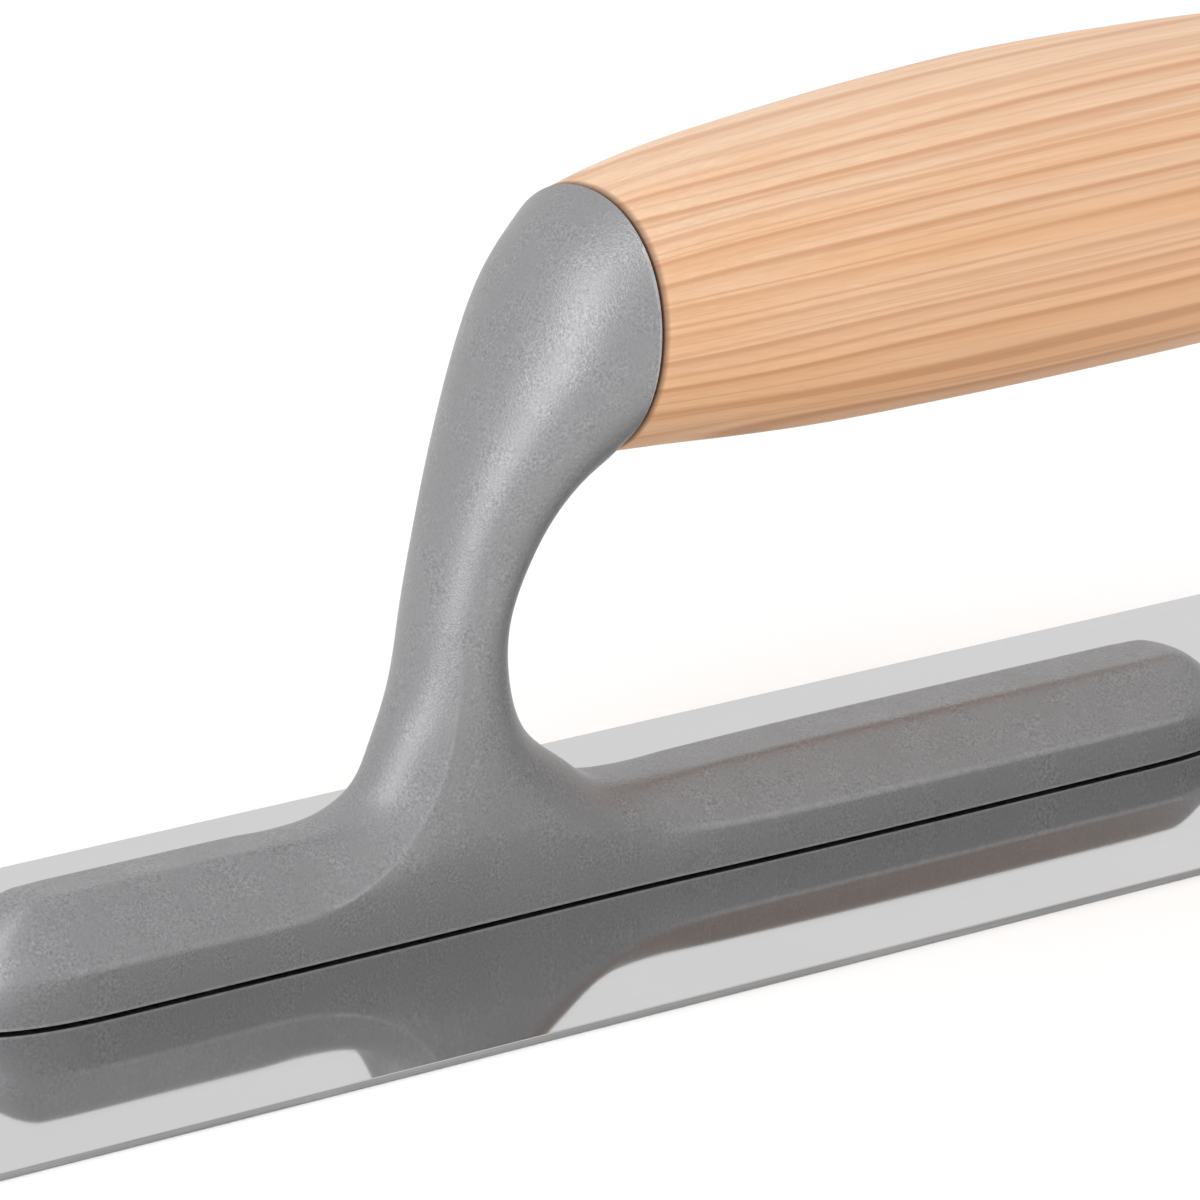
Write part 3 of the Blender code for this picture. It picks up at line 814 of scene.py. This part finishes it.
def screw_profile(head_seat):
    """Point, thread grooves, plain shank and head, and the height of the head's top."""
    head_top = head_seat + SCREW_HEAD_HEIGHT
    profile = [
        (-SCREW_DEPTH_IN_HEAD, SCREW_POINT_RADIUS - THREAD_DEPTH),
        (-SCREW_DEPTH_IN_HEAD + SCREW_POINT_LENGTH, SCREW_RADIUS - THREAD_DEPTH),
    ]
    turns = int(THREAD_LENGTH / THREAD_PITCH)
    thread_start = -SCREW_DEPTH_IN_HEAD + SCREW_POINT_LENGTH
    for turn in range(turns):
        root = thread_start + THREAD_PITCH * (turn + 1)
        profile.append((root - THREAD_PITCH / 2, SCREW_RADIUS))
        profile.append((root, SCREW_RADIUS - THREAD_DEPTH))
    profile += [
        (thread_start + THREAD_PITCH * turns + THREAD_DEPTH, SCREW_RADIUS),
        (head_seat, SCREW_RADIUS),
        (head_seat, SCREW_HEAD_RADIUS),
        (head_top - SCREW_HEAD_CHAMFER, SCREW_HEAD_RADIUS),
        (head_top, SCREW_HEAD_RADIUS - SCREW_HEAD_CHAMFER),
    ]
    return profile, head_top


def hexagon_radius(angle):
    """Distance from the axis to a hexagon's side, at an angle about the axis."""
    side_angle = math.tau / 6
    off_middle = angle % side_angle - side_angle / 2
    return SCREW_SOCKET_RADIUS * math.cos(side_angle / 2) / math.cos(off_middle)


def make_screw(material, place, head_seat):
    shape = bmesh.new()
    profile, head_top = screw_profile(head_seat)
    rings = turned_rings(shape, profile, place)
    for distance in (head_top, head_top - SCREW_SOCKET_DEPTH):
        ring = []
        for step in range(ROUND_SEGMENTS):
            angle = math.tau * step / ROUND_SEGMENTS
            radius = hexagon_radius(angle)
            point = Vector((distance, radius * math.cos(angle), radius * math.sin(angle)))
            ring.append(shape.verts.new(place @ point))
        rings.append(ring)
    cap_rings(shape, rings)
    screw = mesh_object("tie_screw", shape)
    finish_piece(screw, material, ["handle_screw"])


def make_rivets(material):
    """Countersunk heads in the blade, plain shanks up in the beam."""
    for number, x in enumerate(rivet_places(), 1):
        shape = bmesh.new()
        profile = [
            (0, RIVET_HEAD_RADIUS),
            (BLADE_THICKNESS, RIVET_HEAD_RADIUS - BLADE_THICKNESS),
            (BLADE_THICKNESS, RIVET_SHANK_RADIUS),
            (RIVET_TOP, RIVET_SHANK_RADIUS),
        ]
        add_turned(shape, profile, vertical_frame(x))
        rivet = mesh_object(f"flush_rivet_{number}", shape)
        finish_piece(rivet, material, [f"blade_rivet_{number}"])


# Blade ---------------------------------------------------------------------

def blade_outline(inset):
    """Rectangle with rounded corners, counter-clockwise, drawn in by the inset."""
    radius = BLADE_CORNER_RADIUS - inset
    points = []
    for quarter in range(4):
        x_side = (1, -1, -1, 1)[quarter]
        y_side = (1, 1, -1, -1)[quarter]
        centre_x = x_side * (BLADE_LENGTH / 2 - BLADE_CORNER_RADIUS)
        centre_y = y_side * (BLADE_WIDTH / 2 - BLADE_CORNER_RADIUS)
        for step in range(CORNER_STEPS + 1):
            angle = math.pi / 2 * (quarter + step / CORNER_STEPS)
            points.append((centre_x + radius * math.cos(angle), centre_y + radius * math.sin(angle)))
    return points


def make_blade(material):
    shape = bmesh.new()
    edge = BLADE_EDGE_RADIUS
    levels = []
    for step in range(BLADE_EDGE_STEPS + 1):
        angle = math.pi / 2 * step / BLADE_EDGE_STEPS
        levels.append((edge * (1 - math.cos(angle)), edge * (1 - math.sin(angle))))
    rings = []
    for height, inset in levels:
        rings.append([shape.verts.new((x, y, height)) for x, y in blade_outline(inset)])
    for height, inset in reversed(levels):
        z = BLADE_THICKNESS - height
        rings.append([shape.verts.new((x, y, z)) for x, y in blade_outline(inset)])
    cap_rings(shape, rings)
    blade = mesh_object("polished_blade", shape)
    cutter = bmesh.new()
    wide = RIVET_HEAD_RADIUS + GAP
    profile = [
        (-CUT_MARGIN, wide + CUT_MARGIN),
        (BLADE_THICKNESS + CUT_MARGIN, wide - BLADE_THICKNESS - CUT_MARGIN),
    ]
    for x in rivet_places():
        add_turned(cutter, profile, vertical_frame(x))
    holes = mesh_object("blade_holes", cutter)
    boolean(blade, holes, "DIFFERENCE")
    apply_modifiers(blade)
    bpy.data.objects.remove(holes)
    blade.data.shade_smooth()
    blade.data.set_sharp_from_angle(angle=math.radians(SHARP_ANGLE))
    for face in blade.data.polygons:
        face.use_smooth = abs(face.normal.z) < FLAT_FACE_NORMAL
    finish_piece(blade, material, ["blade"])


# Materials -----------------------------------------------------------------

def new_material(name, **sockets):
    """A material with constant values on its shader's sockets."""
    material = bpy.data.materials.new(name)
    material.use_nodes = True
    shader = material.node_tree.nodes["Principled BSDF"]
    for socket, value in sockets.items():
        shader.inputs[socket.replace("_", " ")].default_value = value
    return material, material.node_tree, shader


def add(tree, kind, inputs=(), **settings):
    """Add a node; each input is set to a value or linked to another node's output."""
    item = tree.nodes.new(kind)
    for key, value in settings.items():
        setattr(item, key, value)
    for key, value in dict(inputs).items():
        if isinstance(value, bpy.types.NodeSocket):
            tree.links.new(value, item.inputs[key])
        else:
            item.inputs[key].default_value = value
    return item


def calc(tree, operation, first, second=0.0, third=0.0):
    node = add(tree, "ShaderNodeMath", {0: first, 1: second, 2: third}, operation=operation)
    return node.outputs[0]


def remap(tree, value, low, high, new_low, new_high):
    inputs = {"Value": value, 1: low, 2: high, 3: new_low, 4: new_high}
    return add(tree, "ShaderNodeMapRange", inputs).outputs["Result"]


def mix_colour(tree, factor, first, second):
    inputs = {"Factor": factor, 6: first, 7: second}
    return add(tree, "ShaderNodeMix", inputs, data_type="RGBA").outputs[2]


def object_point(tree):
    return add(tree, "ShaderNodeTexCoord").outputs["Object"]


def stretched(tree, point, scale):
    """The point with each axis scaled, which draws a texture out along an axis."""
    inputs = {"Vector": point, "Scale": scale}
    return add(tree, "ShaderNodeMapping", inputs).outputs["Vector"]


def noise(tree, point, scale, detail, roughness):
    inputs = {"Vector": point, "Scale": scale, "Detail": detail, "Roughness": roughness}
    return add(tree, "ShaderNodeTexNoise", inputs).outputs["Fac"]


def bump(tree, shader, height, strength, distance):
    inputs = {"Height": height, "Strength": strength, "Distance": distance}
    node = add(tree, "ShaderNodeBump", inputs)
    tree.links.new(node.outputs["Normal"], shader.inputs["Normal"])


def cast_metal():
    """Satin die-cast metal: patchy sparkling speckle, faint clouds and lighter edges, partly wear and
    partly a painted highlight.
    """
    material, tree, shader = new_material("satin_cast_metal", Metallic=CAST_METALLIC)
    point = object_point(tree)
    speckle = noise(tree, point, CAST_SPECKLE_SCALE, 2, 0.6)
    pits = noise(tree, point, CAST_PIT_SCALE, 1, 0.5)
    clouds = noise(tree, point, CAST_CLOUD_SCALE, 4, 0.6)
    patches = noise(tree, point, CAST_PATCH_SCALE, 3, 0.6)
    flecks = noise(tree, point, CAST_FLECK_SCALE, 2, 0.5)
    dots = remap(tree, speckle, 0.3, 0.7, 0, 1)
    shade = mix_colour(tree, dots, CAST_DARK, CAST_LIGHT)
    calm = remap(tree, patches, 0.4, 0.6, CAST_CALM_PATCH, CAST_LIVELY_PATCH)
    shade = mix_colour(tree, calm, shade, CAST_MIDDLE)
    cloudy = remap(tree, clouds, 0.3, 0.7, 0, CAST_CLOUD_SHARE)
    shade = mix_colour(tree, cloudy, shade, CAST_CLOUD)
    # Lighter edges along outward bends: partly wear, partly a painted highlight on the creases
    wear_and_highlight = add(tree, "ShaderNodeAttribute", attribute_name="wear_and_highlight").outputs["Fac"]
    wear_and_highlight = remap(tree, wear_and_highlight, CAST_WEAR_HIGHLIGHT_START, 1, 0, CAST_WEAR_HIGHLIGHT_SHARE)
    edge_breakup = remap(tree, flecks, 0.3, 0.6, 0.4, 1)
    worn_and_highlight = calc(tree, "MULTIPLY", wear_and_highlight, edge_breakup)
    shade = mix_colour(tree, worn_and_highlight, shade, CAST_WORN_HIGHLIGHT)
    tree.links.new(shade, shader.inputs["Base Color"])
    height = add(tree, "ShaderNodeSeparateXYZ", {0: point}).outputs["Z"]
    matt = remap(tree, height, MATT_BELOW, POLISHED_ABOVE, BEAM_EXTRA_ROUGHNESS, 0)
    satin = remap(tree, clouds, 0.3, 0.7, CAST_SMOOTHEST, CAST_ROUGHEST)
    tree.links.new(calc(tree, "ADD", satin, matt), shader.inputs["Roughness"])
    bump(tree, shader, pits, 0.7, CAST_PIT_DEPTH)
    return material


def polished_steel():
    """Near-mirror blade steel with faint lengthwise lines and duller sheared edges."""
    material, tree, shader = new_material("polished_blade_steel", Metallic=1.0)
    point = object_point(tree)
    lines = noise(tree, stretched(tree, point, STEEL_LINE_STRETCH), 4, 3, 0.6)
    smears = noise(tree, point, STEEL_SMEAR_SCALE, 3, 0.6)
    shears = noise(tree, stretched(tree, point, SHEAR_STRETCH), 1, 3, 0.6)
    normal = add(tree, "ShaderNodeNewGeometry").outputs["Normal"]
    up = add(tree, "ShaderNodeSeparateXYZ", {0: normal}).outputs["Z"]
    edge = remap(tree, calc(tree, "ABSOLUTE", up), 0.2, 0.6, 1, 0)
    smeared = remap(tree, smears, 0.3, 0.7, 0, 1)
    shade = mix_colour(tree, smeared, STEEL_DULL, STEEL_BRIGHT)
    lined = remap(tree, lines, 0.4, 0.7, 0, STEEL_LINE_SHARE)
    shade = mix_colour(tree, lined, shade, STEEL_LINE)
    sheared = mix_colour(tree, shears, SHEARED_DARK, SHEARED_LIGHT)
    shade = mix_colour(tree, edge, shade, sheared)
    tree.links.new(shade, shader.inputs["Base Color"])
    polish = remap(tree, lines, 0.35, 0.7, STEEL_SMOOTHEST, STEEL_ROUGHEST)
    rough = calc(tree, "MULTIPLY_ADD", edge, SHEARED_ROUGHNESS, polish)
    tree.links.new(rough, shader.inputs["Roughness"])
    bump(tree, shader, lines, 0.02, STEEL_LINE_DEPTH)
    return material


def turned_steel(name, colour, roughness, stretch):
    """Bright steel with fine concentric tool marks and a little dulling."""
    material, tree, shader = new_material(name, Metallic=1.0)
    point = object_point(tree)
    marks = noise(tree, stretched(tree, point, stretch), TOOL_MARK_SCALE, 3, 0.6)
    dull = noise(tree, point, DULL_SCALE, 4, 0.6)
    darker = tuple(DULL_SHARE * value for value in colour)
    dulled = remap(tree, dull, 0.35, 0.7, 0, 1)
    shade = mix_colour(tree, dulled, (*colour, 1), (*darker, 1))
    tree.links.new(shade, shader.inputs["Base Color"])
    rough = remap(tree, marks, 0.3, 0.7, roughness - 0.06, roughness + 0.08)
    tree.links.new(rough, shader.inputs["Roughness"])
    bump(tree, shader, marks, 0.08, TOOL_MARK_DEPTH)
    return material


def growth_position(tree, point):
    """Height of a point across the growth rings, which belly out with the handle."""
    inputs = {0: point, 1: (0, math.sin(GRAIN_TURN), math.cos(GRAIN_TURN))}
    across = add(tree, "ShaderNodeVectorMath", inputs, operation="DOT_PRODUCT").outputs["Value"]
    across = calc(tree, "SUBTRACT", across, GRAIN_CENTRE_Z * math.cos(GRAIN_TURN))
    along = add(tree, "ShaderNodeSeparateXYZ", {0: point}).outputs["X"]
    along = calc(tree, "SUBTRACT", along, GRAIN_CENTRE_X)
    across = calc(tree, "MULTIPLY_ADD", along, -GRAIN_SLOPE, across)
    part = calc(tree, "DIVIDE", along, GRAIN_HALF_LENGTH)
    belly = calc(tree, "MULTIPLY_ADD", calc(tree, "MULTIPLY", part, part), -GRAIN_BELLY, 1)
    return calc(tree, "DIVIDE", across, belly)


def thin_streaks(tree, point, position):
    """Fine uneven lines between the growth lines, along the same surfaces."""
    along = add(tree, "ShaderNodeSeparateXYZ", {0: point}).outputs["X"]
    inputs = {
        "X": calc(tree, "MULTIPLY", along, STREAK_SCALE_ALONG),
        "Y": calc(tree, "MULTIPLY", position, STREAK_SCALE),
    }
    flow = add(tree, "ShaderNodeCombineXYZ", inputs).outputs["Vector"]
    return remap(tree, noise(tree, flow, 1, 3, 0.6), 0.5, 0.62, 0, 1)


def painted_seam_shade(tree, point):
    """Painted shade: a dark line on the wood along its edge at the seam, where the gap between wood
    and metal is in shadow.
    """
    normal = (math.cos(SEAM_TILT), 0, -math.sin(SEAM_TILT))
    inputs = {0: point, 1: normal}
    depth = add(tree, "ShaderNodeVectorMath", inputs, operation="DOT_PRODUCT").outputs["Value"]
    depth = calc(tree, "SUBTRACT", depth, AXIS_START.dot(Vector(normal)))
    return remap(tree, depth, GAP, GAP + SEAM_SHADE_WIDTH, 0.9, 0)


def handle_wood():
    """Straight-grained wood: warm late-wood lines, streaks and fibres, its top painted paler as
    painted light, and a rim of painted shade at the seam.
    """
    material, tree, shader = new_material("straight_grain_wood", Roughness=0.5)
    point = object_point(tree)
    waves = noise(tree, stretched(tree, point, GRAIN_WAVE_STRETCH), 1, 2, 0.5)
    drift = noise(tree, stretched(tree, point, GRAIN_DRIFT_STRETCH), 1, 1, 0.5)
    position = growth_position(tree, point)
    position = calc(tree, "MULTIPLY_ADD", calc(tree, "SUBTRACT", waves, 0.5), GRAIN_WAVE, position)
    position = calc(tree, "MULTIPLY_ADD", calc(tree, "SUBTRACT", drift, 0.5), GRAIN_DRIFT, position)
    turns = calc(tree, "DIVIDE", position, GRAIN_SPACING)
    phase = calc(tree, "FRACT", turns)
    inputs = {"W": calc(tree, "FLOOR", turns)}
    dice = add(tree, "ShaderNodeTexWhiteNoise", inputs, noise_dimensions="1D")
    chance = dice.outputs["Value"]
    # Painted light: paler and less saturated towards the top of the handle, with fainter lines and
    # streaks there
    lit_top = remap(tree, position, WOOD_LIT_TOP_START, WOOD_LIT_TOP_END, 0, 1)
    ramp = add(tree, "ShaderNodeValToRGB", {"Fac": phase})
    stops = ramp.color_ramp
    stops.interpolation = "EASE"
    for place, level in LATE_WOOD_PROFILE:
        stops.elements.new(place).color = (level, level, level, 1)
    stops.elements[0].color = (0, 0, 0, 1)
    stops.elements[-1].color = (0, 0, 0, 1)
    strength = remap(tree, chance, 0, 1, WEAKEST_LINE, 1.0)
    strength = calc(tree, "MULTIPLY", strength, remap(tree, lit_top, 0, 1, 1, LIT_TOP_LINE_STRENGTH))
    line = calc(tree, "MULTIPLY", ramp.outputs["Color"], strength)
    fibres = noise(tree, stretched(tree, point, FIBRE_STRETCH), 1, 3, 0.65)
    bands = noise(tree, stretched(tree, point, BAND_STRETCH), 1, 3, 0.5)
    # Painted light: the wood's tones turn lighter towards the top
    ground = mix_colour(tree, lit_top, WOOD_WARM, WOOD_LIGHT)
    light = mix_colour(tree, lit_top, WOOD_LIGHT, WOOD_LIT_TOP)
    shade = mix_colour(tree, remap(tree, bands, 0.35, 0.65, 0, BAND_SHARE), light, ground)
    shade = mix_colour(tree, line, shade, WOOD_LINE)
    streak_share = remap(tree, lit_top, 0, 1, WARM_STREAK_STRENGTH, LIT_TOP_STREAK_STRENGTH)
    streak = calc(tree, "MULTIPLY", thin_streaks(tree, point, position), streak_share)
    shade = mix_colour(tree, streak, shade, WOOD_LINE)
    shade = mix_colour(tree, remap(tree, fibres, 0.3, 0.75, 0, FIBRE_SHARE), shade, WOOD_LINE)
    # Painted shade along the wood's edge at the seam
    shade = mix_colour(tree, painted_seam_shade(tree, point), shade, WOOD_SEAM_SHADE)
    tree.links.new(shade, shader.inputs["Base Color"])
    rough = calc(tree, "MULTIPLY_ADD", fibres, 0.14, 0.42)
    tree.links.new(rough, shader.inputs["Roughness"])
    height = calc(tree, "MULTIPLY_ADD", line, -0.6, fibres)
    bump(tree, shader, height, 0.25, FIBRE_DEPTH)
    return material


def floor_material():
    material, tree, shader = new_material("pale_floor", Roughness=0.9)
    tint = noise(tree, object_point(tree), 1.5, 2, 0.5)
    shade = mix_colour(tree, tint, FLOOR_DARK, FLOOR_LIGHT)
    tree.links.new(shade, shader.inputs["Base Color"])
    shader.inputs["Specular IOR Level"].default_value = 0.0
    return material


# Stage ---------------------------------------------------------------------

def make_floor():
    shape = bmesh.new()
    corners = ((-1, -1), (1, -1), (1, 1), (-1, 1))
    points = [(x * FLOOR_REACH, y * FLOOR_REACH, -FLOOR_DROP) for x, y in corners]
    shape.faces.new([shape.verts.new(point) for point in points])
    floor = mesh_object("studio_floor", shape)
    floor.data.materials.append(floor_material())


def aim(item, target):
    item.rotation_euler = (target - item.location).to_track_quat("-Z", "Y").to_euler()


def make_panel(name, low_end, high_end, width, radiance):
    """Soft panel whose middle line runs between two points, facing the object."""
    low_end = Vector(low_end)
    high_end = Vector(high_end)
    centre = (low_end + high_end) / 2
    line = high_end - low_end
    facing = (centre - LIGHT_TARGET).normalized()
    upright = (line - facing * line.dot(facing)).normalized()
    turn = Matrix((upright.cross(facing), upright, facing)).transposed()
    light = bpy.data.lights.new(name, "AREA")
    light.shape = "RECTANGLE"
    light.size = width
    light.size_y = line.length
    light.energy = radiance * math.pi * width * line.length
    item = bpy.data.objects.new(name, light)
    bpy.context.scene.collection.objects.link(item)
    item.matrix_world = Matrix.Translation(centre) @ turn.to_4x4()


def make_world():
    """Even white surround with one soft darker patch low on the right."""
    world = bpy.data.worlds.new("studio_white")
    bpy.context.scene.world = world
    world.use_nodes = True
    tree = world.node_tree
    direction = add(tree, "ShaderNodeTexCoord").outputs["Generated"]
    inputs = {0: direction, 1: DARK_PATCH_DIRECTION}
    near = add(tree, "ShaderNodeVectorMath", inputs, operation="DOT_PRODUCT").outputs["Value"]
    edge = math.cos(DARK_PATCH_RADIUS)
    core = math.cos(DARK_PATCH_RADIUS * DARK_PATCH_CORE)
    strength = remap(tree, near, edge, core, WORLD_STRENGTH, WORLD_STRENGTH - DARK_PATCH_DROP)
    background = tree.nodes["Background"]
    background.inputs["Color"].default_value = (1, 1, 1, 1)
    tree.links.new(strength, background.inputs["Strength"])


def make_lights():
    make_world()
    make_panel("left_softbox", LEFT_PANEL_LOW, LEFT_PANEL_HIGH, LEFT_PANEL_WIDTH, LEFT_PANEL_RADIANCE)


def make_camera():
    camera = bpy.data.cameras.new("view")
    camera.lens = CAMERA_LENS
    camera.sensor_width = CAMERA_SENSOR
    camera.clip_start = CAMERA_NEAR
    item = bpy.data.objects.new("view", camera)
    bpy.context.scene.collection.objects.link(item)
    back = Vector((
        -math.sin(CAMERA_AZIMUTH) * math.cos(CAMERA_ELEVATION),
        -math.cos(CAMERA_AZIMUTH) * math.cos(CAMERA_ELEVATION),
        math.sin(CAMERA_ELEVATION),
    ))
    item.location = CAMERA_TARGET + back * CAMERA_DISTANCE
    aim(item, CAMERA_TARGET)
    bpy.context.scene.camera = item


# Build ---------------------------------------------------------------------

bpy.context.scene.view_settings.view_transform = "Standard"
make_camera()
make_floor()
make_lights()
zinc = turned_steel("zinc_plated_steel", ZINC_COLOUR, ZINC_ROUGHNESS, ZINC_STRETCH)
rivet_steel = turned_steel("ground_rivet_steel", RIVET_COLOUR, RIVET_ROUGHNESS, RIVET_STRETCH)
make_blade(polished_steel())
make_casting(cast_metal())
make_handle(handle_wood())
washer_seat = AXIS_LENGTH - COUNTERBORE_DEPTH + GAP
make_washer(zinc, handle_frame(), washer_seat)
make_screw(zinc, handle_frame(), washer_seat + WASHER_THICKNESS + GAP)
make_rivets(rivet_steel)
